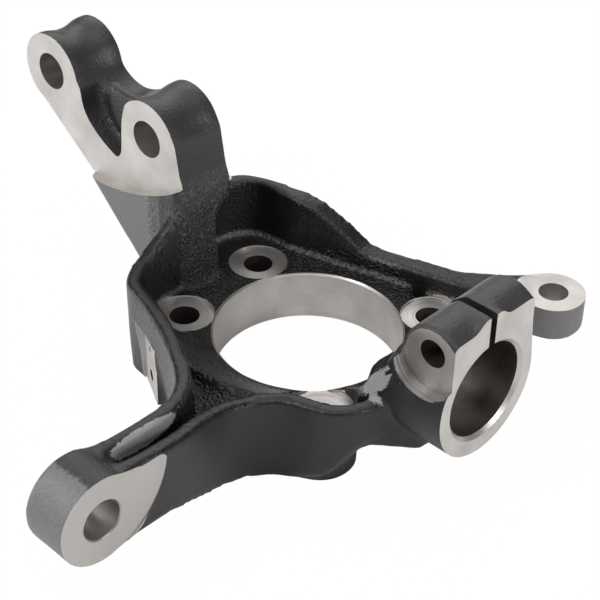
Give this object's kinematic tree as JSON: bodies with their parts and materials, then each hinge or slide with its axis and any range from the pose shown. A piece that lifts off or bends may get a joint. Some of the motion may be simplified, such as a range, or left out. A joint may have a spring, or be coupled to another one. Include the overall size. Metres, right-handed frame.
{
  "type": "steering knuckle",
  "caption": "One-piece cast steering knuckle with a round hub seat, walled arms, a strut bracket, a tie-rod boss, a split ball-joint clamp and a bored ear.",
  "frame": {"origin": "centre of the hub bore on the outboard face", "axes": "+Z along the hub bore, pointing inboard; +X from the hub to the ball-joint clamp, along the clamp's bore; Y along the strut bolts and the pinch bolt"},
  "size_m": [0.2576, 0.2562, 0.1113],
  "materials": {
    "casting": "satin"
  },
  "bodies": {
    "root": {"knuckle": "casting"}
  },
  "joints": []
}
